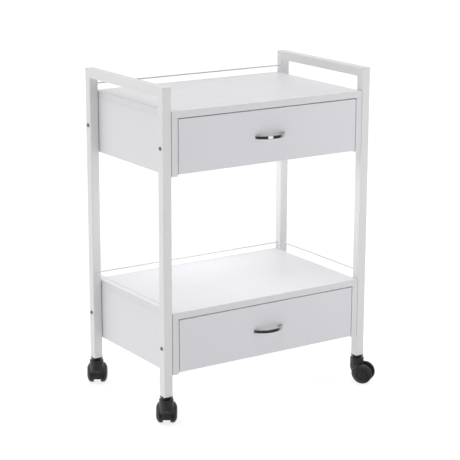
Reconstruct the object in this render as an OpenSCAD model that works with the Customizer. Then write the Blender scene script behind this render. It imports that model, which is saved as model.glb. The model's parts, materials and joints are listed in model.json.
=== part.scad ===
// Rolling salon trolley: two square-tube side frames carry two drawer cabinets on four twin-wheel
// casters. Millimetres, +Z up, front towards -Y, floor at Z = 0. The origin is the middle of the
// footprint: the casters' angles set it a little off the middle of the frame (see box_mid).

/* [Frame] */
// Width over the two side frames
frame_w = 650; // [560:10:720]
// Depth over the front and rear posts
frame_d = 400; // [380:5:440]
// Height of the handle bars' upper faces above the floor
frame_h = 890; // [870:5:960]
// Outer width of the square tube
tube_w = 25; // [22:1:30]
// Wall thickness of the square tube
tube_wall = 1.5; // [1:0.1:2]
// Diameter of the guard rails
rail_d = 4; // [3:0.5:6]
// Height of the guard rails above the shelf below them
rail_rise = 20; // [15:1:30]

/* [Cabinets] */
// Height of the top shelf above the floor
upper_shelf_z = 828; // [800:1:835]
// Height of the lower shelf above the floor
lower_shelf_z = 303; // [290:1:420]
// Height of a cabinet, with its top panel
cabinet_h = 166; // [160:1:180]
// Thickness of the boards
board_t = 18; // [16:1:19]
// Thickness of the back panels
back_t = 12; // [9:1:15]
// Gap between a post and a cabinet's side, which a washer fills
washer_t = 1.2; // [0.8:0.1:2]

/* [Drawers] */
// Gap at the top and the sides of a drawer front
front_gap = 2; // [1.5:0.1:3]
// Height of a drawer front's lower edge above the cabinet's lower edge
front_lift = 4.5; // [3:0.5:6]
// Thickness of the drawer's side and back boards
box_t = 12; // [10:1:15]
// Height of the drawer's side boards
box_h = 100; // [90:1:110]
// Length of the drawer box behind its front
box_l = 345; // [320:1:350]
// Thickness of the drawer's bottom panel
bottom_t = 3; // [3:0.5:4]
// Distance between the screws of a pull
pull_pitch = 80; // [64:16:96]
// How far a pull stands out from the drawer front
pull_reach = 25; // [22:1:30]
// Height of a pull's bar
pull_h = 9; // [8:0.5:12]

/* [Casters] */
// Height of the posts' lower ends above the floor
caster_h = 80; // [76:1:84]
// Diameter of the caster wheels
wheel_d = 56; // [54:1:58]
// Distance from the swivel axis back to the wheels' axle
trail = 20; // [18:1:22]
// Direction in which the front left caster trails, in degrees from +X
front_left_turn = 57; // [-180:1:180]
// Direction in which the rear left caster trails
rear_left_turn = 57; // [-180:1:180]
// Direction in which the front right caster trails
front_right_turn = -55; // [-180:1:180]
// Direction in which the rear right caster trails
rear_right_turn = 40; // [-180:1:180]

/* [Hidden] */
$fn = 64;
eps = 1;                                   // how far a cutter passes beyond a face

// Middle of the footprint, from the middle of the frame
box_mid = [15, 0];

// Frame
post_x = frame_w / 2 - tube_w / 2;         // post centre lines
post_y = frame_d / 2 - tube_w / 2;
inner_x = frame_w / 2 - tube_w;            // inner faces of the side frames
inner_y = frame_d / 2 - tube_w;            // facing faces of the front and rear posts
bore_w = tube_w - 2 * tube_wall;
rail_seat = 3;                             // how far a rail's end goes into a post

// Cabinets
cabinet_x = inner_x - washer_t;            // outer faces of the cabinets' sides
inside_x = cabinet_x - board_t;            // inner faces of the cabinets' sides
side_h = cabinet_h - board_t;
upper_z = upper_shelf_z - cabinet_h;       // lower edges of the cabinets
lower_z = lower_shelf_z - cabinet_h;
half_d = frame_d / 2;

// Frame bolts and washers
bolt_d = 6;
bolt_hole_d = 6.4;
bolt_head_d = 10;
bolt_head_h = 3;
bolt_dome_d = 15;                          // diameter of the sphere that domes a head
bolt_socket_d = 4.6;                       // over the corners of the hexagon
bolt_socket_h = 1.6;
bolt_grip = 14;                            // how far a bolt goes into a cabinet's side
washer_d = 16;

// Drawers
front_h = side_h - front_gap - front_lift;
front_x = inside_x - front_gap;
front_back_y = -half_d + board_t;          // rear face of the drawer front
box_back_y = front_back_y + box_l;
runner_space = 12.5;                       // room for the runners at each side of the box
box_x = inside_x - runner_space;           // outer faces of the drawer's sides
box_lift = 16;                             // lower edge of the box above the cabinet's lower edge
bottom_lift = box_lift + 8;
groove = 5;

// Pulls
pull_l = pull_pitch + 15;
pull_bar = 5;
pull_r = (pull_l * pull_l / 4 + pull_reach * pull_reach) / (2 * pull_reach);
pull_foot = 14;                            // length of a foot along the bar
pull_foot_h = 6;                           // how far a foot stands out before the bar covers it
pull_screw_d = 4;
pull_screw_hole_d = 4.5;
pull_screw_grip = 6;
pull_screw_head_d = 8;
pull_screw_head_h = 2.5;

// Runners: a channel with a front roller on the cabinet, a slide with a rear roller on the drawer
runner_lift = 42;                          // middle of the channel above the cabinet's lower edge
runner_h = 30;
runner_lip = 9.7;
sheet_t = 1.2;
channel_l = 350;
slide_l = 340;
roller_d = 15;
roller_w = 6;
roller_gap = 0.3;                          // between a roller and the track it rolls on
roller_pin_d = 4;
roller_bore_d = 4.1;
roller_z = -runner_h / 2 + sheet_t + roller_gap + roller_d / 2;
roller_inset = 12;                         // from a member's end to its roller
roller_head = 0.8;                         // thickness of the head on a roller's pin
roller_head_d = 7;
front_roller_x = 1.9;                      // inner faces of the rollers, from the cabinet's side
rear_roller_x = 3.8;
head_gap = 0.5;                            // between a roller and the head on its pin
channel_y = 2;                             // where a channel starts behind the drawer front
slide_y = 1;
slide_low = -12;                           // lower and upper edge of a slide's web
slide_high = 10;
slide_lip = 3;                             // how near a slide's flange comes to the cabinet's side
flange_z = roller_z + roller_d / 2 + roller_gap;

// Casters
wheel_r = wheel_d / 2;
wheel_in = 10;                             // inner face of a wheel from the caster's middle
wheel_edge = 1;                            // chamfer between that face and the tread
tread_out = 17;                            // where the flat tread ends and the dome begins
dome_w = 12.5;
cap_v = 27.5;                              // flat middle of the wheel's outer face
cap_groove = 1.2;                          // depth of the ring groove round that middle
cap_groove_w = 1.5;
axle_d = 6;
axle_bore_d = 6.1;
axle_l = 44;
axle_gap = 0.5;                            // between the axle's end and the end of a wheel's bore
web_w = 18;
web_r = 14;
hood_t = 2.4;
wheel_gap = 0.8;
hood_r = wheel_r + wheel_gap + hood_t;
hood_flat = 15;
hood_dome = 17.5;
hood_side = hood_flat + hood_dome * 0.98;
room_side = 40;                            // how far out the room for a wheel is kept open
tongue_w = 28;
tongue_z = 15;
shoulder_u = -10;                          // where the shoulder's lower edge starts, at the front
shoulder_z = 33;
shoulder_turn = 35;                        // how steeply that edge rises towards the rear
shoulder_end = 11;                         // where the shoulder ends over the wheels
breast_z = caster_h - 35;                  // where the breast under the collar starts to slope
breast_low = breast_z - 11;
collar_d = 38;
collar_top = caster_h - 8.6;
collar_low = caster_h - 30;
swivel_gap = 0.3;
plug_flange = 3.5;
plug_in = 20;
plug_w = bore_w - 0.4;
stem_d = 11;
stem_up = 34;
stem_low_d = 10;
stem_low = 20;
stem_bore_d = 10.1;
shoulder_d = 24;

white_steel = "whitesmoke";
white_board = "white";
black_nylon = [0.13, 0.13, 0.14];

// ---------- Helpers

// Moves the frame's middle to its place by the origin
module placed() {
  translate([-box_mid[0], -box_mid[1], 0]) children();
}

// A box from its lowest corner to its highest
module span(low, high) {
  translate(low) cube(high - low);
}

// A cylinder along +X or -X from a point
module rod_x(from, length, d) {
  translate(from) rotate([0, length > 0 ? 90 : -90, 0]) cylinder(d = d, h = abs(length));
}

// A cylinder along +Y from a point
module rod_y(from, length, d) {
  translate(from) rotate([-90, 0, 0]) cylinder(d = d, h = length);
}

// ---------- Side frames and rails

// Outline of an inverted U across the depth, drawn in from both edges of the tube by inset
module u_outline(inset, foot) {
  difference() {
    translate([-frame_d / 2 + inset, foot])
      square([frame_d - 2 * inset, frame_h - inset - foot]);
    translate([-inner_y - inset, foot - eps])
      square([2 * (inner_y + inset), frame_h - tube_w + inset - foot + eps]);
  }
}

// Where the frame bolts pass through the posts, for one side
module bolt_places() {
  for (y = [-post_y, post_y])
    for (z = [upper_z, lower_z])
      translate([0, y, z + side_h / 2]) children();
}

// Cutters for the ends of the guard rails, for one side
module rail_seats(side) {
  rod_x([side * (inner_x - eps), post_y, upper_shelf_z + rail_rise], side * (rail_seat + eps), rail_d);
  rod_x([side * (inner_x - eps), post_y, lower_shelf_z + rail_rise], side * (rail_seat + eps), rail_d);
  rod_y([side * post_x, -inner_y - rail_seat, lower_shelf_z + rail_rise],
        2 * (inner_y + rail_seat), rail_d);
}

module side_frame(side) {
  color(white_steel)
    difference() {
      translate([side * post_x - tube_w / 2, 0, 0])
        rotate([90, 0, 90]) linear_extrude(height = tube_w) u_outline(0, caster_h);
      translate([side * post_x - bore_w / 2, 0, 0])
        rotate([90, 0, 90]) linear_extrude(height = bore_w) u_outline(tube_wall, caster_h - eps);
      bolt_places() rod_x([side * (inner_x - eps), 0, 0], side * (tube_w + 2 * eps), bolt_hole_d);
      rail_seats(side);
    }
}

// A rail from side frame to side frame along the rear posts
module cross_rail(shelf_z) {
  color(white_steel)
    rod_x([-inner_x - rail_seat, post_y, shelf_z + rail_rise], 2 * (inner_x + rail_seat), rail_d);
}

// A rail from the front post to the rear post of one side frame
module side_rail(side) {
  color(white_steel)
    rod_y([side * post_x, -inner_y - rail_seat, lower_shelf_z + rail_rise],
          2 * (inner_y + rail_seat), rail_d);
}

// ---------- Cabinets

module top_panel(z) {
  color(white_board)
    span([-cabinet_x, -half_d, z + side_h], [cabinet_x, half_d, z + cabinet_h]);
}

module side_panel(side, z) {
  color(white_board)
    difference() {
      translate([side > 0 ? inside_x : -cabinet_x, -half_d, z]) cube([board_t, frame_d, side_h]);
      for (y = [-post_y, post_y])
        rod_x([side * (cabinet_x + eps), y, z + side_h / 2], -side * (bolt_grip + eps), bolt_d);
    }
}

module back_panel(z) {
  color(white_board)
    span([-inside_x, half_d - back_t, z], [inside_x, half_d, z + side_h]);
}

// ---------- Fasteners between frame and cabinets

// One bolt along X, its head outside the post
module frame_bolt(side) {
  rod_x([side * frame_w / 2, 0, 0], -side * (tube_w + washer_t + bolt_grip), bolt_d);
  difference() {
    translate([side * frame_w / 2, 0, 0]) rotate([0, side * 90, 0])
      intersection() {
        cylinder(d = bolt_head_d, h = bolt_head_h);
        translate([0, 0, bolt_head_h - bolt_dome_d / 2]) sphere(d = bolt_dome_d);
      }
    translate([side * (frame_w / 2 + bolt_head_h - bolt_socket_h), 0, 0]) rotate([0, side * 90, 0])
      cylinder(d = bolt_socket_d, h = bolt_head_h, $fn = 6);
  }
}

module frame_bolts() {
  color("dimgray")
    for (side = [-1, 1]) bolt_places() frame_bolt(side);
}

module spacer_washers() {
  color("gray")
    for (side = [-1, 1]) bolt_places()
      difference() {
        rod_x([side * cabinet_x, 0, 0], side * washer_t, washer_d);
        rod_x([side * (cabinet_x - eps), 0, 0], side * (washer_t + 2 * eps), bolt_hole_d);
      }
}

// ---------- Runners

// Places its children at the middle of a cabinet's runner, with X from the side towards the drawer
module at_runner(side, z) {
  translate([side * inside_x, -half_d + board_t, z + runner_lift])
    mirror([side > 0 ? 1 : 0, 0, 0]) children();
}

// A pin along +X with a head at its far end
module roller_pin(from, length) {
  rod_x(from, length, roller_pin_d);
  rod_x([from[0] + length - roller_head, from[1], from[2]], roller_head, roller_head_d);
}

// The channel on the cabinet's side, with the front roller's pin
module channel() {
  color("gainsboro") {
    span([0, channel_y, -runner_h / 2], [sheet_t, channel_y + channel_l, runner_h / 2]);
    span([0, channel_y, -runner_h / 2], [runner_lip, channel_y + channel_l, -runner_h / 2 + sheet_t]);
    span([0, 3 * roller_inset, runner_h / 2 - sheet_t], [runner_lip, channel_y + channel_l, runner_h / 2]);
    roller_pin([sheet_t / 2, roller_inset, roller_z],
               front_roller_x + roller_w + head_gap + roller_head - sheet_t / 2);
  }
}

// The slide on the drawer's side, with the rear roller's pin
module slide() {
  color("gainsboro") {
    span([runner_space - sheet_t, slide_y, slide_low], [runner_space, slide_l, slide_high]);
    span([slide_lip, slide_y, flange_z], [runner_space, slide_l, flange_z + sheet_t]);
    mirror([1, 0, 0])
      roller_pin([-runner_space + sheet_t / 2, slide_l - roller_inset, roller_z],
                 runner_space - sheet_t / 2 - rear_roller_x + head_gap + roller_head);
  }
}

module roller(x, y) {
  difference() {
    rod_x([x, y, roller_z], roller_w, roller_d);
    rod_x([x - eps, y, roller_z], roller_w + 2 * eps, roller_bore_d);
  }
}

module runner(side, z) {
  at_runner(side, z) channel();
}

module drawer_slide(side, z) {
  at_runner(side, z) slide();
}

module front_rollers(z) {
  color("white")
    for (side = [-1, 1]) at_runner(side, z) roller(front_roller_x, roller_inset);
}

module rear_rollers(z) {
  color("white")
    for (side = [-1, 1]) at_runner(side, z) roller(rear_roller_x, slide_l - roller_inset);
}

// ---------- Drawers

module drawer_front(z) {
  color("lavender")
    difference() {
      span([-front_x, -half_d, z + front_lift], [front_x, front_back_y, z + front_lift + front_h]);
      span([-box_x + box_t - groove, front_back_y - groove, z + bottom_lift],
           [box_x - box_t + groove, front_back_y + eps, z + bottom_lift + bottom_t]);
      for (x = [-pull_pitch / 2, pull_pitch / 2])
        rod_y([x, -half_d - eps, z + front_lift + front_h / 2], board_t + 2 * eps, pull_screw_hole_d);
    }
}

module drawer_side(side, z) {
  color("white")
    difference() {
      translate([side > 0 ? box_x - box_t : -box_x, front_back_y, z + box_lift])
        cube([box_t, box_l, box_h]);
      span([-box_x + box_t - groove, front_back_y - eps, z + bottom_lift],
           [box_x - box_t + groove, box_back_y + eps, z + bottom_lift + bottom_t]);
    }
}

// The back stands on the bottom panel
module drawer_back(z) {
  color("white")
    span([-box_x + box_t, box_back_y - box_t, z + bottom_lift + bottom_t],
         [box_x - box_t, box_back_y, z + box_lift + box_h]);
}

module drawer_bottom(z) {
  color("white")
    span([-box_x + box_t - groove, front_back_y - groove, z + bottom_lift],
         [box_x - box_t + groove, box_back_y, z + bottom_lift + bottom_t]);
}

// Plan outline of a bow: an arc of even thickness that ends at the drawer front, with two feet
module bow_outline() {
  intersection() {
    union() {
      difference() {
        translate([0, pull_r - pull_reach]) circle(r = pull_r, $fn = 128);
        translate([0, pull_r - pull_reach]) circle(r = pull_r - pull_bar, $fn = 128);
      }
      intersection() {
        translate([0, pull_r - pull_reach]) circle(r = pull_r, $fn = 128);
        for (s = [-1, 1])
          translate([s * (pull_l / 2 - pull_foot / 2) - pull_foot / 2, -pull_foot_h])
            square([pull_foot, pull_foot_h]);
      }
    }
    translate([-pull_l, -2 * pull_reach]) square([2 * pull_l, 2 * pull_reach]);
  }
}

module pull(z) {
  pull_z = z + front_lift + front_h / 2;
  color("silver")
    difference() {
      translate([0, -half_d, pull_z - pull_h / 2]) linear_extrude(height = pull_h) bow_outline();
      for (x = [-pull_pitch / 2, pull_pitch / 2])
        rod_y([x, -half_d - pull_screw_grip, pull_z], pull_screw_grip + eps, pull_screw_d);
    }
}

module pull_screws(z) {
  pull_z = z + front_lift + front_h / 2;
  color("silver")
    for (x = [-pull_pitch / 2, pull_pitch / 2]) {
      rod_y([x, -half_d - pull_screw_grip, pull_z], pull_screw_grip + board_t, pull_screw_d);
      rod_y([x, front_back_y, pull_z], pull_screw_head_h, pull_screw_head_d);
    }
}

// ---------- Casters

// Places its children on a post's centre line
module at_post(side, end) {
  translate([side * post_x, end * post_y, 0]) children();
}

module all_posts() {
  for (side = [-1, 1]) for (end = [-1, 1]) at_post(side, end) children();
}

module post_plugs() {
  color(black_nylon)
    all_posts()
      difference() {
        union() {
          translate([-tube_w / 2, -tube_w / 2, caster_h - plug_flange]) cube([tube_w, tube_w, plug_flange]);
          translate([-plug_w / 2, -plug_w / 2, caster_h - eps]) cube([plug_w, plug_w, plug_in + eps]);
        }
        translate([0, 0, caster_h - plug_flange - eps])
          cylinder(d = stem_d, h = plug_flange + plug_in + 2 * eps);
      }
}

// A stem pressed in the plug, with a shoulder under it and the swivel's pin below
module caster_stems() {
  color("darkgray")
    all_posts() {
      translate([0, 0, caster_h - plug_flange]) cylinder(d = stem_d, h = stem_up);
      translate([0, 0, collar_top + swivel_gap])
        cylinder(d = shoulder_d, h = caster_h - plug_flange - collar_top - swivel_gap);
      translate([0, 0, collar_top - stem_low]) cylinder(d = stem_low_d, h = stem_low + 2 * swivel_gap);
    }
}

// A solid of revolution about the wheels' axle, from a profile of [radius, place along the axle]
module about_axle(profile) {
  translate([trail, 0, wheel_r]) rotate([-90, 0, 0]) rotate_extrude($fn = 96) polygon(profile);
}

// Points of a quarter ellipse from a tread's edge to a flat cap
function dome(r, start, width, cap) =
  let (last = asin((cap - start) / width))
  [for (i = [0 : 8]) [r * cos(last * i / 8), start + width * sin(last * i / 8)]];

// Profile of a wheel on the +Y side, with a ring groove round its cap and a blind bore
function wheel_profile() =
  let (cap_r = wheel_r * cos(asin((cap_v - tread_out) / dome_w)),
       groove_r = cap_r - cap_groove_w,
       bore_end = axle_l / 2 + axle_gap)
  concat(
    [[axle_bore_d / 2, wheel_in], [wheel_r - wheel_edge, wheel_in], [wheel_r, wheel_in + wheel_edge]],
    dome(wheel_r, tread_out, dome_w, cap_v),
    [[groove_r, cap_v], [groove_r, cap_v - cap_groove],
     [groove_r - cap_groove_w, cap_v - cap_groove], [groove_r - cap_groove_w, cap_v],
     [0, cap_v], [0, bore_end], [axle_bore_d / 2, bore_end]]);

// Room for a wheel on the +Y side
function wheel_room() =
  concat(
    [[0, web_w / 2], [wheel_r + wheel_gap, web_w / 2]],
    dome(wheel_r + wheel_gap, tread_out + axle_gap, dome_w + wheel_gap, cap_v + axle_gap),
    [[wheel_r, room_side], [0, room_side]]);

// Half of the hood's outer shape on the +Y side
function hood_profile() =
  concat([[0, 0], [hood_r, 0]], dome(hood_r, hood_flat, hood_dome, hood_side), [[0, hood_side]]);

module both_sides() {
  children();
  mirror([0, 1, 0]) children();
}

// Where the hood covers the wheels: over their front, up to a little behind the swivel axis
module shoulder_room() {
  intersection() {
    translate([shoulder_u, 0, shoulder_z]) rotate([0, -shoulder_turn, 0])
      span([-2 * hood_r, -hood_r - eps, 0], [3 * hood_r, hood_r + eps, 2 * hood_r]);
    span([-2 * hood_r, -2 * hood_r, 0], [shoulder_end, 2 * hood_r, 3 * hood_r]);
  }
}

// Front of the hood between collar and tongue, flush with the collar and then sloping back
module breast() {
  intersection() {
    translate([0, collar_d / 2, 0]) rotate([90, 0, 0])
      linear_extrude(height = collar_d)
        polygon([[-collar_d / 2 - eps, collar_low + eps], [-collar_d / 2 - eps, breast_z],
                 [-collar_d / 2, breast_z], [trail - hood_r, breast_low], [0, breast_low],
                 [0, collar_low + eps]]);
    translate([0, 0, tongue_z]) cylinder(d = collar_d, h = collar_top - tongue_z);
  }
}

// Swivelling hood: collar, shoulder over the wheels, tongue down the front and web for the axle
module hood() {
  color(black_nylon)
    difference() {
      union() {
        intersection() {
          both_sides() about_axle(hood_profile());
          union() {
            shoulder_room();
            span([trail - 2 * hood_r, -tongue_w / 2, tongue_z], [shoulder_end, tongue_w / 2, 3 * hood_r]);
          }
        }
        breast();
        translate([trail, web_w / 2, wheel_r]) rotate([90, 0, 0]) cylinder(r = web_r, h = web_w);
        translate([0, 0, collar_low]) cylinder(d = collar_d, h = collar_top - collar_low);
      }
      both_sides() about_axle(wheel_room());
      translate([0, 0, collar_top - stem_low - swivel_gap])
        cylinder(d = stem_bore_d, h = stem_low + 2 * swivel_gap + eps);
      translate([trail, -web_w, wheel_r]) rotate([-90, 0, 0]) cylinder(d = axle_d, h = 2 * web_w);
    }
}

module caster_axle() {
  color("silver")
    translate([trail, -axle_l / 2, wheel_r]) rotate([-90, 0, 0]) cylinder(d = axle_d, h = axle_l);
}

// side is +1 for the wheel on the caster's +Y side and -1 for the other
module caster_wheel(side) {
  color(black_nylon)
    mirror([0, side > 0 ? 0 : 1, 0]) about_axle(wheel_profile());
}

// Turns a caster about its post: side and end say which post
module turned(side, end, turn) {
  at_post(side, end) rotate([0, 0, turn]) children();
}

// ---------- Nodes

placed() side_frame(-1);  // left_side_frame
placed() side_frame(1);  // right_side_frame
placed() cross_rail(upper_shelf_z);  // rear_top_rail
placed() cross_rail(lower_shelf_z);  // rear_lower_rail
placed() side_rail(-1);  // left_lower_rail
placed() side_rail(1);  // right_lower_rail
placed() top_panel(upper_z);  // upper_top_panel
placed() side_panel(-1, upper_z);  // upper_left_panel
placed() side_panel(1, upper_z);  // upper_right_panel
placed() back_panel(upper_z);  // upper_back_panel
placed() top_panel(lower_z);  // lower_top_panel
placed() side_panel(-1, lower_z);  // lower_left_panel
placed() side_panel(1, lower_z);  // lower_right_panel
placed() back_panel(lower_z);  // lower_back_panel
placed() frame_bolts();
placed() spacer_washers();
placed() post_plugs();
placed() caster_stems();
placed() runner(-1, upper_z);  // upper_left_runner
placed() runner(1, upper_z);  // upper_right_runner
placed() runner(-1, lower_z);  // lower_left_runner
placed() runner(1, lower_z);  // lower_right_runner
placed() front_rollers(upper_z);  // upper_front_rollers
placed() front_rollers(lower_z);  // lower_front_rollers
placed() rear_rollers(upper_z);  // upper_rear_rollers
placed() rear_rollers(lower_z);  // lower_rear_rollers
placed() drawer_front(upper_z);  // upper_drawer_front
placed() drawer_side(-1, upper_z);  // upper_drawer_left
placed() drawer_side(1, upper_z);  // upper_drawer_right
placed() drawer_back(upper_z);  // upper_drawer_back
placed() drawer_bottom(upper_z);  // upper_drawer_bottom
placed() pull(upper_z);  // upper_pull
placed() pull_screws(upper_z);  // upper_pull_screws
placed() drawer_slide(-1, upper_z);  // upper_left_slide
placed() drawer_slide(1, upper_z);  // upper_right_slide
placed() drawer_front(lower_z);  // lower_drawer_front
placed() drawer_side(-1, lower_z);  // lower_drawer_left
placed() drawer_side(1, lower_z);  // lower_drawer_right
placed() drawer_back(lower_z);  // lower_drawer_back
placed() drawer_bottom(lower_z);  // lower_drawer_bottom
placed() pull(lower_z);  // lower_pull
placed() pull_screws(lower_z);  // lower_pull_screws
placed() drawer_slide(-1, lower_z);  // lower_left_slide
placed() drawer_slide(1, lower_z);  // lower_right_slide
placed() turned(-1, -1, front_left_turn) hood();  // front_left_hood
placed() turned(-1, -1, front_left_turn) caster_axle();  // front_left_axle
placed() turned(-1, -1, front_left_turn) caster_wheel(1);  // front_left_wheel_a
placed() turned(-1, -1, front_left_turn) caster_wheel(-1);  // front_left_wheel_b
placed() turned(-1, 1, rear_left_turn) hood();  // rear_left_hood
placed() turned(-1, 1, rear_left_turn) caster_axle();  // rear_left_axle
placed() turned(-1, 1, rear_left_turn) caster_wheel(1);  // rear_left_wheel_a
placed() turned(-1, 1, rear_left_turn) caster_wheel(-1);  // rear_left_wheel_b
placed() turned(1, -1, front_right_turn) hood();  // front_right_hood
placed() turned(1, -1, front_right_turn) caster_axle();  // front_right_axle
placed() turned(1, -1, front_right_turn) caster_wheel(1);  // front_right_wheel_a
placed() turned(1, -1, front_right_turn) caster_wheel(-1);  // front_right_wheel_b
placed() turned(1, 1, rear_right_turn) hood();  // rear_right_hood
placed() turned(1, 1, rear_right_turn) caster_axle();  // rear_right_axle
placed() turned(1, 1, rear_right_turn) caster_wheel(1);  // rear_right_wheel_a
placed() turned(1, 1, rear_right_turn) caster_wheel(-1);  // rear_right_wheel_b
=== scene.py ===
"""Looks of a rolling salon trolley: two powder-coated square-tube side frames, two melamine-faced
cabinets with a drawer each, chrome bow pulls and four black twin-wheel casters.
Metres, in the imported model's frame: +Z up, front towards -Y, floor at Z = 0."""

import json
import math

import bmesh
import bpy
from mathutils import Matrix, Vector

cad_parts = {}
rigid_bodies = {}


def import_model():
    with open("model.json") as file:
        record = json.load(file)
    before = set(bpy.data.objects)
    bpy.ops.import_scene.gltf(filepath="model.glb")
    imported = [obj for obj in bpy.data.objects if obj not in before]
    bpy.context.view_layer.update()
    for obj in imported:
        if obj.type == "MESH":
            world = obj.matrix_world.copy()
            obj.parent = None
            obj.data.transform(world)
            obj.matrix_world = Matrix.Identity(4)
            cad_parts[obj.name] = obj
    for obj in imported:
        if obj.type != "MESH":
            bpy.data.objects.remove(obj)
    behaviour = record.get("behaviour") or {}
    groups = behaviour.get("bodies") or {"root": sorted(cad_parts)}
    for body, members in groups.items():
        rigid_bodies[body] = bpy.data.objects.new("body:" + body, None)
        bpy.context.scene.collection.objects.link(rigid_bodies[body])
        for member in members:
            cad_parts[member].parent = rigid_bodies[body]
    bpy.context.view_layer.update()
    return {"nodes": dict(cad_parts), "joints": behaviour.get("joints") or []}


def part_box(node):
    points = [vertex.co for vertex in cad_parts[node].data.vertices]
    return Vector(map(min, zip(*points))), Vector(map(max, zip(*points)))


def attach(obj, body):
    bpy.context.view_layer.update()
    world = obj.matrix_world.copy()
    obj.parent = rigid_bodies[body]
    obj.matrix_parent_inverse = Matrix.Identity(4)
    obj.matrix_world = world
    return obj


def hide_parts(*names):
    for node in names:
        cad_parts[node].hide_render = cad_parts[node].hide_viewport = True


for leftover in list(bpy.data.objects):
    bpy.data.objects.remove(leftover)
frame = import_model()
JOINTS = {joint["name"]: joint for joint in frame["joints"]}
MM = 0.001

# ---------- Sizes read from the frame

LEFT_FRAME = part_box("left_side_frame")
TUBE = LEFT_FRAME[1].x - LEFT_FRAME[0].x
POST_Y = LEFT_FRAME[1].y - TUBE / 2        # centre lines of the posts and the handle bars
BAR_Z = LEFT_FRAME[1].z - TUBE / 2
TUBE_WALL = 1.5 * MM
TUBE_CORNER = 2.4 * MM                     # outer radius along the tube's edges
BORE_CORNER = 1.0 * MM
MITRE_ROUND = 3.0 * MM                     # ground corner of the mitred joint
MITRE_FILLET = 2.5 * MM                    # weld in the inner corner
ARC_STEPS = 5

BOARD_ROUND = 0.7 * MM
BAND = 1.2 * MM                            # thickness of the edge banding
GLUE_LINE = 0.18 * MM
GLUE_DEPTH = 0.10 * MM

BORE_RADIUS = 5.05 * MM                    # of a hood's bore for its swivel pin
BORE_EASE = 0.6 * MM                       # how far the remeshed bore is drawn back from the pin
PIN_DEPTH = 15 * MM                        # a vertex lower than this in the bore is at its blind end
AXLE_BORE_RADIUS = 3.05 * MM
WHEEL_IN, WHEEL_OUT = 10 * MM, 27.5 * MM   # inner and outer face of a wheel, from the caster's middle
TREAD_WIDTH = 7 * MM
DOME_WIDTH = 12.5 * MM                     # half axis of the ellipse from a wheel's tread to its cap

CASTERS = ("front_left", "rear_left", "front_right", "rear_right")
CABINETS = ("upper", "lower")

# ---------- Mesh helpers


def new_piece(name, mesh, body, materials):
    """An object for a mesh whose points are in the frame's metres, riding on a body."""
    piece = bpy.data.objects.new(name, mesh)
    bpy.context.scene.collection.objects.link(piece)
    for finish in materials:
        mesh.materials.append(finish)
    mesh.polygons.foreach_set("use_smooth", [True] * len(mesh.polygons))
    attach(piece, body)
    return piece


def from_bmesh(bm, name, body, materials):
    bmesh.ops.recalc_face_normals(bm, faces=bm.faces[:])
    mesh = bpy.data.meshes.new(name)
    bm.to_mesh(mesh)
    bm.free()
    return new_piece(name, mesh, body, materials)


def round_edges(piece, width, segments=3, angle=35):
    """Rounds every edge sharper than angle, and keeps the flats flat in the shading."""
    bevel = piece.modifiers.new("round edges", "BEVEL")
    bevel.width = width
    bevel.segments = segments
    bevel.limit_method = "ANGLE"
    bevel.angle_limit = math.radians(angle)
    flat_shading(piece)


def flat_shading(piece):
    weighted = piece.modifiers.new("flat shading", "WEIGHTED_NORMAL")
    weighted.keep_sharp = True
    weighted.weight = 80


def sharpen(piece, angle=32):
    piece.data.set_sharp_from_angle(angle=math.radians(angle))


def ring_points(radius, count, flats=0):
    """Points of a circle about Z, or with flats = 6 of a hexagon with that corner radius."""
    points = []
    for i in range(count):
        turn = 2 * math.pi * i / count
        reach = radius
        if flats:
            half = math.pi / flats
            reach = radius * math.cos(half) / math.cos((turn % (2 * half)) - half)
        points.append(Vector((reach * math.cos(turn), reach * math.sin(turn), 0)))
    return points


def lathe(bm, profile, place, count=48, flats_below=0):
    """Adds a solid of revolution about the local Z axis of place to bm. The profile runs from one end
    of the axis to the other as (radius, height); the first flats_below rings are hexagons."""
    rings = []
    for index, (radius, height) in enumerate(profile):
        flats = 6 if index < flats_below else 0
        if radius < 1e-7:
            ring = [bm.verts.new(place @ Vector((0, 0, height)))]
        else:
            ring = [bm.verts.new(place @ (p + Vector((0, 0, height))))
                    for p in ring_points(radius, count, flats)]
        rings.append(ring)
    for ring, following in zip(rings, rings[1:]):
        for i in range(count):
            j = (i + 1) % count
            corners = [ring[i % len(ring)], ring[j % len(ring)], following[j % len(following)],
                       following[i % len(following)]]
            face = list(dict.fromkeys(corners))
            if len(face) > 2:
                bm.faces.new(face)


def axis_place(origin, axis):
    """Matrix whose Z axis is axis and whose origin is origin."""
    turn = Vector(axis).normalized().to_track_quat("Z", "Y").to_matrix().to_4x4()
    return Matrix.Translation(Vector(origin)) @ turn


# ---------- Materials


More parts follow.
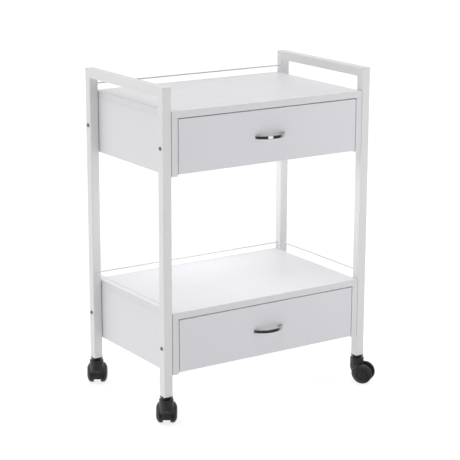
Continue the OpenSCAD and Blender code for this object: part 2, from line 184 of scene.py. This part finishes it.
class Finish:
    """A Principled material and short calls for its node tree, in the object's own metres."""

    def __init__(self, name, colour, roughness, **shader):
        self.made = bpy.data.materials.new(name)
        self.made.use_nodes = True
        self.tree = self.made.node_tree
        self.shader = self.tree.nodes["Principled BSDF"]
        self.colour = colour
        self.shader.inputs["Base Color"].default_value = (*colour, 1)
        self.shader.inputs["Roughness"].default_value = roughness
        for key, value in shader.items():
            self.shader.inputs[key.replace("_", " ")].default_value = value
        self.place = self.node("ShaderNodeTexCoord").outputs["Object"]
        self.height = None

    def node(self, kind, **settings):
        made = self.tree.nodes.new(kind)
        for key, value in settings.items():
            setattr(made, key, value)
        return made

    def link(self, source, target):
        self.tree.links.new(source, target)

    def math(self, operation, first, second=0.0, clamp=False):
        made = self.node("ShaderNodeMath", operation=operation, use_clamp=clamp)
        for socket, value in zip(made.inputs, (first, second)):
            if isinstance(value, (int, float)):
                socket.default_value = value
            else:
                self.link(value, socket)
        return made.outputs[0]

    def axis(self, name):
        split = self.node("ShaderNodeSeparateXYZ")
        self.link(self.place, split.inputs[0])
        return split.outputs[name]

    def stretched(self, stretch):
        scaled = self.node("ShaderNodeVectorMath", operation="MULTIPLY")
        self.link(self.place, scaled.inputs[0])
        scaled.inputs[1].default_value = stretch
        return scaled.outputs[0]

    def noise(self, per_metre, detail=2.0, roughness=0.5, stretch=None):
        made = self.node("ShaderNodeTexNoise")
        made.inputs["Scale"].default_value = per_metre
        made.inputs["Detail"].default_value = detail
        made.inputs["Roughness"].default_value = roughness
        self.link(self.stretched(stretch) if stretch else self.place, made.inputs["Vector"])
        return made.outputs["Fac"]

    def cells(self, per_metre, feature="F1", stretch=None):
        made = self.node("ShaderNodeTexVoronoi", feature=feature)
        made.inputs["Scale"].default_value = per_metre
        self.link(self.stretched(stretch) if stretch else self.place, made.inputs["Vector"])
        return made.outputs["Distance"]

    def ranged(self, value, low, high, from_low=0.3, from_high=0.7):
        made = self.node("ShaderNodeMapRange")
        self.link(value, made.inputs["Value"])
        limits = (from_low, from_high, low, high)
        for key, limit in zip(("From Min", "From Max", "To Min", "To Max"), limits):
            made.inputs[key].default_value = limit
        return made.outputs["Result"]

    def rough(self, value, low, high, from_low=0.3, from_high=0.7):
        self.link(self.ranged(value, low, high, from_low, from_high), self.shader.inputs["Roughness"])

    def tint(self, value, other, from_low=0.3, from_high=0.7):
        """Mixes the colour so far towards other by value."""
        mix = self.node("ShaderNodeMix", data_type="RGBA")
        self.link(self.ranged(value, 0, 1, from_low, from_high), mix.inputs[0])
        already = self.shader.inputs["Base Color"].links
        if already:
            self.link(already[0].from_socket, mix.inputs[6])
        else:
            mix.inputs[6].default_value = (*self.colour, 1)
        mix.inputs[7].default_value = (*other, 1)
        self.link(mix.outputs[2], self.shader.inputs["Base Color"])

    def bump(self, value, depth, strength=1.0):
        """Raises the surface by value times depth, on top of the bumps so far."""
        made = self.node("ShaderNodeBump")
        made.inputs["Distance"].default_value = depth
        made.inputs["Strength"].default_value = strength
        self.link(value, made.inputs["Height"])
        if self.height is not None:
            self.link(self.height, made.inputs["Normal"])
        self.height = made.outputs["Normal"]
        self.link(self.height, self.shader.inputs["Normal"])


def scaled(colour, factor):
    return tuple(channel * factor for channel in colour)


def powder_coat():
    """White satin powder coat on steel: orange peel, a few pinholes and the dressed mitre joints."""
    white = (0.80, 0.80, 0.805)
    coat = Finish("white_powder_coat", white, 0.36, Specular_IOR_Level=0.45)
    coat.tint(coat.noise(7, 3), scaled(white, 0.975))
    coat.rough(coat.noise(45, 3), 0.32, 0.44)
    coat.bump(coat.noise(520, 2), 0.05 * MM)
    coat.bump(coat.noise(1900, 1), 0.010 * MM)
    specks = coat.ranged(coat.cells(210), 1, 0, 0.02, 0.06)
    coat.tint(specks, scaled(white, 0.93), 0, 1)
    # Distance from the plane of the mitre, which runs where |y| and z climb together.
    upright = coat.math("SUBTRACT", coat.math("ABSOLUTE", coat.axis("Y")), POST_Y)
    level = coat.math("SUBTRACT", coat.axis("Z"), BAR_Z)
    apart = coat.math("ABSOLUTE", coat.math("SUBTRACT", upright, level))
    near = coat.math("LESS_THAN", coat.math("ABSOLUTE", upright), TUBE / 2)
    joint = coat.math("MULTIPLY", coat.ranged(apart, 1, 0, 0.2 * MM, 1.0 * MM), near)
    coat.bump(joint, 0.06 * MM, 0.8)
    coat.tint(joint, scaled(white, 0.94), 0, 1)
    return coat.made


def melamine(name, white, gloss):
    """Melamine-faced board: fine pebble grain, faint mottling and handling marks in the gloss."""
    face = Finish(name, white, gloss, Specular_IOR_Level=0.45)
    face.tint(face.noise(5, 4), scaled(white, 0.978))
    face.tint(face.noise(900, 2), scaled(white, 0.985), 0.45, 0.75)
    face.rough(face.noise(16, 5, 0.62), gloss - 0.05, gloss + 0.08)
    face.bump(face.noise(1500, 3), 0.022 * MM)
    face.bump(face.cells(620), 0.014 * MM)
    return face.made


def edge_band(name, white):
    """ABS edge banding: smoother than the face, with faint lines from the trimmer."""
    band = Finish(name, white, 0.34, Specular_IOR_Level=0.5)
    band.tint(band.noise(30, 2), scaled(white, 0.97))
    band.rough(band.noise(60, 3), 0.28, 0.42)
    band.bump(band.noise(700, 2, stretch=(0.05, 1, 1)), 0.012 * MM)
    band.bump(band.noise(2200, 1), 0.006 * MM)
    return band.made


def foil(name, white):
    """Foil-wrapped drawer board with a fine linen print."""
    wrap = Finish(name, white, 0.5, Specular_IOR_Level=0.35)
    wrap.tint(wrap.noise(12, 3), scaled(white, 0.96))
    warp = wrap.noise(900, 1, stretch=(0.08, 1, 1))
    weft = wrap.noise(900, 1, stretch=(1, 0.08, 1))
    fall = wrap.noise(900, 1, stretch=(1, 1, 0.08))
    threads = wrap.math("ADD", wrap.math("ADD", warp, weft), fall)
    wrap.tint(threads, scaled(white, 0.9), 1.35, 1.7)
    wrap.rough(threads, 0.44, 0.58, 1.2, 1.8)
    wrap.bump(threads, 0.02 * MM)
    return wrap.made


def chrome():
    """Polished chrome with faint polishing lines and finger smudges."""
    plate = Finish("polished_chrome", (0.66, 0.66, 0.67), 0.1, Metallic=1.0)
    plate.tint(plate.noise(90, 3), (0.60, 0.60, 0.62))
    plate.rough(plate.noise(140, 4, 0.6), 0.07, 0.17)
    plate.bump(plate.noise(260, 2, stretch=(0.15, 1, 1)), 0.008 * MM)
    return plate.made


def zinc(name, grey):
    """Bright zinc plate: spangled tone, drawing lines and dulled patches."""
    plate = Finish(name, grey, 0.36, Metallic=1.0)
    plate.tint(plate.cells(160), scaled(grey, 0.82), 0.1, 0.6)
    plate.tint(plate.noise(40, 4), scaled(grey, 0.88))
    plate.rough(plate.noise(75, 4, 0.6), 0.26, 0.5)
    plate.bump(plate.noise(1200, 2, stretch=(1, 0.04, 1)), 0.012 * MM)
    return plate.made


def oxide(name, grey):
    """Oxide-blacked steel, worn a little lighter in patches."""
    dark = Finish(name, grey, 0.42, Metallic=0.6)
    dark.tint(dark.noise(300, 3), scaled(grey, 1.6))
    dark.rough(dark.noise(420, 3), 0.32, 0.55)
    dark.bump(dark.noise(2600, 2), 0.012 * MM)
    return dark.made


def moulded(name, colour, gloss, grain=0.02, lift=1.6):
    """Moulded nylon: spark-eroded texture, flow marks, and scuffs that lift the colour a little."""
    skin = Finish(name, colour, gloss, Specular_IOR_Level=0.45)
    skin.tint(skin.noise(60, 4), scaled(colour, lift), 0.45, 0.8)
    skin.tint(skin.noise(900, 2), scaled(colour, 0.8), 0.5, 0.8)
    skin.rough(skin.noise(110, 4, 0.6), gloss - 0.07, gloss + 0.1)
    skin.bump(skin.noise(1700, 3), grain * MM)
    return skin.made


FACE_WHITE = (0.795, 0.787, 0.815)
FRONT_WHITE = (0.790, 0.777, 0.815)
STEEL = powder_coat()
FACE = melamine("white_melamine", FACE_WHITE, 0.34)
FRONT = melamine("front_melamine", FRONT_WHITE, 0.38)
BAND_WHITE = edge_band("white_edge_band", scaled(FACE_WHITE, 0.985))
FRONT_BAND = edge_band("front_edge_band", scaled(FRONT_WHITE, 0.985))
FOIL = foil("linen_foil", (0.76, 0.76, 0.77))
FOIL_BAND = edge_band("foil_edge_band", (0.74, 0.74, 0.75))
CHROME = chrome()
ZINC = zinc("zinc_plate", (0.62, 0.63, 0.65))
BOLT = oxide("black_oxide_steel", (0.045, 0.045, 0.048))
BOLT_HEAD = oxide("worn_oxide_steel", (0.19, 0.19, 0.195))
HOOD = moulded("hood_nylon", (0.035, 0.035, 0.037), 0.40)
WHEEL = moulded("wheel_nylon", (0.026, 0.026, 0.028), 0.44, 0.015)
PLUG = moulded("plug_nylon", (0.022, 0.022, 0.024), 0.45, 0.012)
WASHER = moulded("washer_nylon", (0.16, 0.16, 0.165), 0.5, 0.012, 1.2)
ROLLER = moulded("roller_nylon", (0.72, 0.72, 0.70), 0.4, 0.008, 1.04)

# ---------- Side frames and rails


def rounded_square(half, corner):
    """Points (across, out) round a square tube's section."""
    points = []
    for quarter in range(4):
        middle = math.pi / 4 + quarter * math.pi / 2
        centre = Vector((math.copysign(half - corner, math.cos(middle)),
                         math.copysign(half - corner, math.sin(middle))))
        for step in range(ARC_STEPS + 1):
            turn = quarter * math.pi / 2 + step * math.pi / 2 / ARC_STEPS
            points.append(centre + corner * Vector((math.cos(turn), math.sin(turn))))
    return points


def on_mitre(end, turn, out):
    """Place (y, z) of a line that runs out from the tube's centre line, turn round the corner."""
    if out > 0:
        middle = TUBE / 2 - MITRE_ROUND
        reach = out - middle
    else:
        middle = -TUBE / 2 - MITRE_FILLET
        reach = out - middle
    return (end * (POST_Y + middle + reach * math.cos(turn)),
            BAR_Z + middle + reach * math.sin(turn))


def side_frame(name, node):
    """An inverted U of rounded square tube, open at the feet, where the plugs close it."""
    low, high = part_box(node)
    across_middle = (low.x + high.x) / 2
    stations = [lambda out: (-(POST_Y + out), low.z)]
    for end, turns in ((-1, range(ARC_STEPS + 1)), (1, reversed(range(ARC_STEPS + 1)))):
        for step in turns:
            turn = step * math.pi / 2 / ARC_STEPS
            stations.append(lambda out, end=end, turn=turn: on_mitre(end, turn, out))
    stations.append(lambda out: (POST_Y + out, low.z))
    bm = bmesh.new()
    skins = []
    for half, corner in ((TUBE / 2, TUBE_CORNER), (TUBE / 2 - TUBE_WALL, BORE_CORNER)):
        section = rounded_square(half, corner)
        rings = []
        for station in stations:
            ring = []
            for across, out in section:
                y, z = station(out)
                ring.append(bm.verts.new((across_middle + across, y, z)))
            rings.append(ring)
        for ring, following in zip(rings, rings[1:]):
            for i in range(len(section)):
                j = (i + 1) % len(section)
                bm.faces.new((ring[i], ring[j], following[j], following[i]))
        skins.append(rings)
    for at in (0, -1):
        outer, inner = skins[0][at], skins[1][at]
        for i in range(len(outer)):
            j = (i + 1) % len(outer)
            bm.faces.new((outer[i], outer[j], inner[j], inner[i]))
    piece = from_bmesh(bm, name, "frame", [STEEL])
    sharpen(piece, 50)
    flat_shading(piece)
    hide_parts(node)


def weld_beads():
    """A small weld round each end of a guard rail, where it meets a post."""
    bead = 1.3 * MM
    bm = bmesh.new()
    for node, direction in (("rear_top_rail", "x"), ("rear_lower_rail", "x"),
                            ("left_lower_rail", "y"), ("right_lower_rail", "y")):
        low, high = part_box(node)
        middle = (low + high) / 2
        radius = (high.z - low.z) / 2
        inner = POST_Y - TUBE / 2 if direction == "y" else None
        for sign in (-1, 1):
            if direction == "x":
                face = LEFT_FRAME[1].x if sign < 0 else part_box("right_side_frame")[0].x
                place = axis_place((face, middle.y, middle.z), (-sign, 0, 0))
            else:
                place = axis_place((middle.x, sign * inner, middle.z), (0, -sign, 0))
            profile = [(radius + bead, -0.2 * MM)]
            for step in range(5):
                turn = step * math.pi / 8
                profile.append((radius + bead * math.cos(turn), bead * math.sin(turn)))
            profile.append((radius - 0.3 * MM, bead))
            lathe(bm, profile, place, 24)
    from_bmesh(bm, "rail_welds", "frame", [STEEL])


# ---------- Boards


def board(name, node, body, finish, band):
    """A board with rounded edges, edge banding and the fine glue line between band and face."""
    low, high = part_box(node)
    bm = bmesh.new()
    bmesh.ops.create_cube(bm, size=1)
    size = high - low
    for vert in bm.verts:
        vert.co = (low + high) / 2 + Vector(a * b for a, b in zip(vert.co, size))
    bmesh.ops.bevel(bm, geom=bm.edges[:], offset=BOARD_ROUND, segments=3, profile=0.5,
                    affect="EDGES", clamp_overlap=True)
    for face in bm.faces:
        face.material_index = 1
    faces = sorted(bm.faces, key=lambda face: face.calc_area())[-2:]
    for thickness, depth in ((BAND - BOARD_ROUND, 0), (GLUE_LINE, -GLUE_DEPTH), (GLUE_LINE, GLUE_DEPTH)):
        bmesh.ops.inset_individual(bm, faces=faces, thickness=thickness, depth=depth,
                                   use_even_offset=True)
    for face in faces:
        face.material_index = 0
    piece = from_bmesh(bm, name, body, [finish, band])
    flat_shading(piece)
    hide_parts(node)
    return piece


def cabinets():
    for level in CABINETS:
        for part in ("top", "left", "right", "back"):
            node = f"{level}_{part}_panel"
            board(f"{level}_{part}_board", node, "frame", FACE, BAND_WHITE)


def drawers():
    for level in CABINETS:
        body = f"{level}_drawer"
        board(f"{level}_front_board", f"{body}_front", body, FRONT, FRONT_BAND)
        for part in ("left", "right", "back", "bottom"):
            board(f"{body}_{part}_board", f"{body}_{part}", body, FOIL, FOIL_BAND)


# ---------- Pulls and screws


def bow_pull(level):
    """A bow of chromed zinc: one arc with a flat foot at each end, all edges well rounded."""
    node = f"{level}_pull"
    low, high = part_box(node)
    middle, back = (low.x + high.x) / 2, high.y
    half, reach = (high.x - low.x) / 2, high.y - low.y
    bar = 5 * MM
    foot = 13 * MM
    outer = (half * half + reach * reach) / (2 * reach)
    inner = outer - bar
    centre = outer - reach                 # behind the drawer front
    steps = 28
    outline = []
    sweep = math.asin(half / outer)
    for step in range(2 * steps + 1):
        turn = -sweep + step * sweep / steps
        outline.append((outer * math.sin(turn), centre - outer * math.cos(turn)))
    toe = half - foot
    lift = 3.2 * MM                        # height of a foot before it curves into the bar
    lean = math.asin((toe - 2.5 * MM) / inner)
    outline += [(toe, 0), (toe, -lift), (toe - 0.5 * MM, -lift - 2.2 * MM)]
    for step in range(2 * steps + 1):
        turn = lean - step * lean / steps
        outline.append((inner * math.sin(turn), centre - inner * math.cos(turn)))
    outline += [(-toe + 0.5 * MM, -lift - 2.2 * MM), (-toe, -lift), (-toe, 0)]
    bm = bmesh.new()
    rings = [[bm.verts.new((middle + x, back + y, z)) for x, y in outline] for z in (low.z, high.z)]
    bm.faces.new(rings[0])
    bm.faces.new(rings[1])
    for i in range(len(outline)):
        j = (i + 1) % len(outline)
        bm.faces.new((rings[0][i], rings[0][j], rings[1][j], rings[1][i]))
    piece = from_bmesh(bm, f"{level}_bow_pull", f"{level}_drawer", [CHROME])
    round_edges(piece, 1.9 * MM, 5, 40)
    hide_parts(node)


def pan_head(bm, place, radius, height, count=48, flats_below=0):
    """A domed screw head on the plane of place, with a hexagon socket if flats_below is 2."""
    socket = 0.46 * radius
    depth = 0.55 * height
    profile = [(0, height - depth)] if flats_below else []
    if flats_below:
        profile += [(socket, height - depth), (socket, height - 0.12 * MM), (socket + 0.15 * MM, height)]
    else:
        profile += [(0, height)]
    for step in range(1, 9):
        turn = step * math.pi / 16
        start = socket + 0.5 * MM if flats_below else 0.35 * radius
        profile.append((start + (radius - start) * math.sin(turn), height * (0.25 + 0.75 * math.cos(turn))))
    profile += [(radius, 0.1 * height), (radius - 0.15 * MM, 0), (0.5 * radius, 0)]
    lathe(bm, profile, place, count, flats_below + 1 if flats_below else 0)


def bolts():
    """Button-head frame bolts with hexagon sockets, and their shanks."""
    head = 3 * MM
    bolt_z = []
    for level in CABINETS:
        side_low, side_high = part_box(f"{level}_left_panel")
        bolt_z.append((side_low.z + side_high.z) / 2)
    bm = bmesh.new()
    for x, sign in ((LEFT_FRAME[0].x, -1), (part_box("right_side_frame")[1].x, 1)):
        length = TUBE + 15 * MM
        for y in (-POST_Y, POST_Y):
            for z in bolt_z:
                place = axis_place((x, y, z), (sign, 0, 0))
                pan_head(bm, place, 5 * MM, head, 48, 2)
                shank = [(3 * MM, 0), (3 * MM, -length + 1 * MM), (2.2 * MM, -length), (0, -length)]
                lathe(bm, shank, place, 24)
    piece = from_bmesh(bm, "button_head_bolts", "frame", [BOLT_HEAD])
    sharpen(piece, 40)
    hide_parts("frame_bolts")


def pull_screws(level):
    """Pan-head screws inside the drawer, one behind each foot of the pull."""
    node = f"{level}_pull_screws"
    low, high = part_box(node)
    front_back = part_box(f"{level}_drawer_front")[1].y
    radius = (high.z - low.z) / 2
    bm = bmesh.new()
    for x in (low.x + radius, high.x - radius):
        place = axis_place((x, front_back, (low.z + high.z) / 2), (0, 1, 0))
        pan_head(bm, place, radius, high.y - front_back, 48, 2)
        lathe(bm, [(2 * MM, 0), (2 * MM, low.y - front_back)], place, 24)
    piece = from_bmesh(bm, f"{level}_pan_head_screws", f"{level}_drawer", [ZINC])
    sharpen(piece, 40)
    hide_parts(node)


# ---------- Casters


def caster_frame(name):
    """Local frame of a caster: X from the swivel axis towards the wheels' axle, Z up from the floor."""
    swivel = Vector(JOINTS[f"{name}_swivel"]["pos_m"])
    hub = Vector(JOINTS[f"{name}_wheel_a_spin"]["pos_m"])
    across = Vector(JOINTS[f"{name}_wheel_a_spin"]["axis"]).normalized()
    along = across.cross(Vector((0, 0, 1)))
    turn = Matrix((along, across, (0, 0, 1))).transposed().to_4x4()
    return Matrix.Translation((swivel.x, swivel.y, 0)) @ turn, hub, across


def ease_bore(mesh, swivel):
    """Widens and deepens the bore for the swivel pin, so that a remeshed wall still clears the pin."""
    wall = [v for v in mesh.vertices
            if math.hypot(v.co.x - swivel.x, v.co.y - swivel.y) < BORE_RADIUS + 0.1 * MM]
    top = max(v.co.z for v in wall)
    for vertex in wall:
        away = Vector((vertex.co.x - swivel.x, vertex.co.y - swivel.y, 0))
        if away.length > BORE_RADIUS / 2:
            vertex.co += away.normalized() * BORE_EASE
        if vertex.co.z < top - PIN_DEPTH:
            vertex.co.z -= BORE_EASE


def soft_copy(node, name, body, finish, voxel):
    """A moulded copy of a CAD node: remeshed finely, so that every edge gets a small radius."""
    piece = bpy.data.objects.new(name, frame["nodes"][node].data.copy())
    bpy.context.scene.collection.objects.link(piece)
    piece.data.materials.clear()
    piece.data.materials.append(finish)
    weld = piece.modifiers.new("join", "WELD")
    weld.merge_threshold = 0.01 * MM
    remesh = piece.modifiers.new("remesh", "REMESH")
    remesh.mode = "VOXEL"
    remesh.voxel_size = voxel
    remesh.use_smooth_shade = True
    smooth = piece.modifiers.new("soften", "SMOOTH")
    smooth.factor = 0.5
    smooth.iterations = 5
    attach(piece, body)
    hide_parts(node)
    return piece


def wheel_profile(radius, inner, outer):
    """Half section of a wheel, from its inner face to its cap, as (radius, place along the axle)."""
    tread = inner + TREAD_WIDTH
    last = math.asin((outer - tread) / DOME_WIDTH)
    cap = radius * math.cos(last)
    points = [(AXLE_BORE_RADIUS, inner), (0.42 * radius, inner), (0.46 * radius, inner + 1.2 * MM),
              (0.80 * radius, inner + 1.2 * MM), (0.84 * radius, inner), (radius - 1.2 * MM, inner)]
    for step in range(1, 4):
        turn = step * math.pi / 6
        points.append((radius - 1.2 * MM + 1.2 * MM * math.sin(turn),
                       inner + 1.2 * MM * (1 - math.cos(turn))))
    for groove in range(3):                # shallow grooves round the tread
        start = inner + 2.2 * MM + groove * 1.8 * MM
        points += [(radius, start), (radius - 0.35 * MM, start + 0.2 * MM),
                   (radius - 0.35 * MM, start + 0.5 * MM), (radius, start + 0.7 * MM)]
    for step in range(13):
        turn = last * step / 12
        points.append((radius * math.cos(turn), tread + DOME_WIDTH * math.sin(turn)))
    groove, depth = 1.5 * MM, 1.2 * MM
    points += [(cap - groove, outer), (cap - groove - 0.1 * MM, outer - depth),
               (cap - 2 * groove + 0.1 * MM, outer - depth), (cap - 2 * groove, outer)]
    dish = cap - 2 * groove - 1.0 * MM
    points += [(dish, outer), (dish - 0.6 * MM, outer - 0.3 * MM), (0.2 * radius, outer - 0.45 * MM),
               (0.18 * radius, outer - 0.1 * MM), (0.05 * radius, outer), (0, outer)]
    return points


def wheel(name, side):
    """One lathed wheel: side is 1 for wheel a and -1 for wheel b."""
    letter = "a" if side > 0 else "b"
    node = f"{name}_wheel_{letter}"
    _, hub, across = caster_frame(name)
    low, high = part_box(node)
    radius = (high.z - low.z) / 2
    bm = bmesh.new()
    profile = wheel_profile(radius, WHEEL_IN, WHEEL_OUT)
    lathe(bm, profile, axis_place(hub, side * across), 96)
    piece = from_bmesh(bm, f"{node}_moulding", node, [WHEEL])
    sharpen(piece, 34)
    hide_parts(node)


def casters():
    for name in CASTERS:
        hood = soft_copy(f"{name}_hood", f"{name}_hood_moulding", f"{name}_caster", HOOD,
                         0.8 * MM)
        ease_bore(hood.data, Vector(JOINTS[f"{name}_swivel"]["pos_m"]))
        for side in (1, -1):
            wheel(name, side)


# ---------- CAD nodes that keep their shape


def keep(node, finish, rounding=0.0):
    """Gives a CAD node its finish, and a small radius on its edges."""
    piece = frame["nodes"][node]
    for slot in piece.material_slots:
        slot.link = "OBJECT"
        slot.material = finish
    if rounding:
        weld = piece.modifiers.new("join", "WELD")
        weld.merge_threshold = 0.01 * MM
        round_edges(piece, rounding, 2, 50)


def kept_nodes():
    for node in ("rear_top_rail", "rear_lower_rail", "left_lower_rail", "right_lower_rail"):
        keep(node, STEEL)
    keep("spacer_washers", WASHER, 0.2 * MM)
    keep("post_plugs", PLUG, 0.7 * MM)
    keep("caster_stems", BOLT, 0.4 * MM)
    for level in CABINETS:
        for end in ("front", "rear"):
            keep(f"{level}_{end}_rollers", ROLLER, 0.5 * MM)
        for side in ("left", "right"):
            keep(f"{level}_{side}_runner", ZINC, 0.25 * MM)
            keep(f"{level}_{side}_slide", ZINC, 0.25 * MM)
    for name in CASTERS:
        keep(f"{name}_axle", ZINC, 0.4 * MM)


def runner_screws():
    """Small screws that hold each channel to its cabinet and each slide to its drawer."""
    for level in CABINETS:
        for kind, body in (("runner", "frame"), ("slide", f"{level}_drawer")):
            bm = bmesh.new()
            for side in ("left", "right"):
                low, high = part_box(f"{level}_{side}_{kind}")
                inwards = 1 if side == "left" else -1
                if kind == "runner":       # heads inside the channel, facing the drawer
                    x = low.x + 1.2 * MM if side == "left" else high.x - 1.2 * MM
                    facing = inwards
                else:                      # heads on the slide's web, facing the cabinet
                    x = high.x - 1.2 * MM if side == "left" else low.x + 1.2 * MM
                    facing = -inwards
                z = (low.z + high.z) / 2 + (0 if kind == "runner" else 3 * MM)
                for share in (0.16, 0.5, 0.84):
                    y = low.y + share * (high.y - low.y)
                    pan_head(bm, axis_place((x, y, z), (facing, 0, 0)), 2.6 * MM, 1.0 * MM, 24, 2)
            piece = from_bmesh(bm, f"{level}_{kind}_screws", body, [ZINC])
            sharpen(piece, 40)


# ---------- Studio

VIEW_TURN = math.radians(33.418)           # how far the camera stands to the left of the front
VIEW_DOWN = math.radians(14.379)
VIEW_ROLL = math.radians(0.180)
CAMERA_AT = (-2.370, -3.581, 1.540)
FOCAL_LENGTH = 126.31                      # on a sensor 36 mm wide


def camera():
    ahead = Vector((math.sin(VIEW_TURN) * math.cos(VIEW_DOWN), math.cos(VIEW_TURN) * math.cos(VIEW_DOWN),
                    -math.sin(VIEW_DOWN)))
    level = Vector((math.cos(VIEW_TURN), -math.sin(VIEW_TURN), 0))
    upright = level.cross(ahead)
    right = math.cos(VIEW_ROLL) * level + math.sin(VIEW_ROLL) * upright
    up = right.cross(ahead)
    lens = bpy.data.cameras.new("camera")
    lens.lens = FOCAL_LENGTH
    lens.sensor_width = 36
    lens.clip_start, lens.clip_end = 0.1, 200
    holder = bpy.data.objects.new("camera", lens)
    bpy.context.scene.collection.objects.link(holder)
    holder.matrix_world = Matrix.Translation(CAMERA_AT) @ Matrix((right, up, -ahead)).transposed().to_4x4()
    bpy.context.scene.camera = holder


def studio_air():
    """Soft light from all round: bright behind the object, a little dimmer above, dark in front."""
    bright, dark, overhead = 1.0, 0.06, 0.80
    world = bpy.data.worlds.new("studio")
    bpy.context.scene.world = world
    world.use_nodes = True
    tree = world.node_tree
    background = tree.nodes["Background"]
    place = tree.nodes.new("ShaderNodeTexCoord")
    facing = tree.nodes.new("ShaderNodeVectorMath")
    facing.operation = "DOT_PRODUCT"
    facing.inputs[1].default_value = Vector((0, -1, -0.15)).normalized()
    tree.links.new(place.outputs["Generated"], facing.inputs[0])
    fade = tree.nodes.new("ShaderNodeMapRange")
    fade.interpolation_type = "SMOOTHSTEP"
    for key, value in (("From Min", -0.35), ("From Max", 0.5), ("To Min", bright), ("To Max", dark)):
        fade.inputs[key].default_value = value
    tree.links.new(facing.outputs["Value"], fade.inputs["Value"])
    split = tree.nodes.new("ShaderNodeSeparateXYZ")
    tree.links.new(place.outputs["Generated"], split.inputs[0])
    climb = tree.nodes.new("ShaderNodeMapRange")
    for key, value in (("From Min", 0.0), ("From Max", 1.0), ("To Min", 1.0), ("To Max", overhead)):
        climb.inputs[key].default_value = value
    tree.links.new(split.outputs["Z"], climb.inputs["Value"])
    level = tree.nodes.new("ShaderNodeMath")
    level.operation = "MULTIPLY"
    tree.links.new(fade.outputs["Result"], level.inputs[0])
    tree.links.new(climb.outputs["Result"], level.inputs[1])
    tree.links.new(level.outputs[0], background.inputs["Strength"])
    background.inputs["Color"].default_value = (1, 1, 1, 1)


def softbox(name, at, towards, wide, high, radiance, in_gloss=True):
    lamp = bpy.data.lights.new(name, "AREA")
    lamp.shape = "RECTANGLE"
    lamp.size, lamp.size_y = wide, high
    lamp.energy = radiance * math.pi * wide * high
    holder = bpy.data.objects.new(name, lamp)
    bpy.context.scene.collection.objects.link(holder)
    aim = Vector(towards) - Vector(at)
    holder.matrix_world = Matrix.Translation(Vector(at)) @ aim.to_track_quat("-Z", "Y").to_matrix().to_4x4()
    holder.visible_camera = False
    holder.visible_glossy = in_gloss


def top_light(strength, tilt, spread):
    lamp = bpy.data.lights.new("top_light", "SUN")
    lamp.energy = strength
    lamp.angle = math.radians(spread)
    holder = bpy.data.objects.new("top_light", lamp)
    bpy.context.scene.collection.objects.link(holder)
    holder.rotation_euler = (0, -math.radians(tilt), 0)


def floor():
    """Plain pale floor, far wider than any view: a white light table, so that shadows stay faint."""
    bm = bmesh.new()
    bmesh.ops.create_grid(bm, x_segments=24, y_segments=24, size=60)
    mesh = bpy.data.meshes.new("floor")
    bm.to_mesh(mesh)
    bm.free()
    ground = bpy.data.objects.new("floor", mesh)
    bpy.context.scene.collection.objects.link(ground)
    paper = Finish("paper_sweep", (0.30, 0.30, 0.30), 0.9, Specular_IOR_Level=0.0,
                   Emission_Color=(1, 1, 1, 1), Emission_Strength=0.82)
    paper.tint(paper.noise(1.5, 3), (0.29, 0.29, 0.29))
    paper.bump(paper.noise(300, 2), 0.02 * MM)
    mesh.materials.append(paper.made)
    ground.visible_glossy = False          # gloss mirrors the studio's walls, not the paper


# ---------- Build

camera()
studio_air()
softbox("front_softbox", (0.26, -2.6, 0.9), (0.0, 0.0, 0.55), 1.2, 1.6, 1.3)
softbox("right_fill", (1.3, -1.25, 0.65), (0.3, -0.2, 0.5), 0.7, 1.1, 1.6, in_gloss=False)
softbox("bay_light", (0, 0.02, 0.655), (0, 0.02, 0.3), 0.32, 0.50, 1.7, in_gloss=False)
top_light(1.15, 12, 60)
floor()
side_frame("left_tube_frame", "left_side_frame")
side_frame("right_tube_frame", "right_side_frame")
weld_beads()
cabinets()
drawers()
for cabinet in CABINETS:
    bow_pull(cabinet)
    pull_screws(cabinet)
bolts()
casters()
kept_nodes()
runner_screws()
bpy.context.scene.view_settings.view_transform = "Standard"
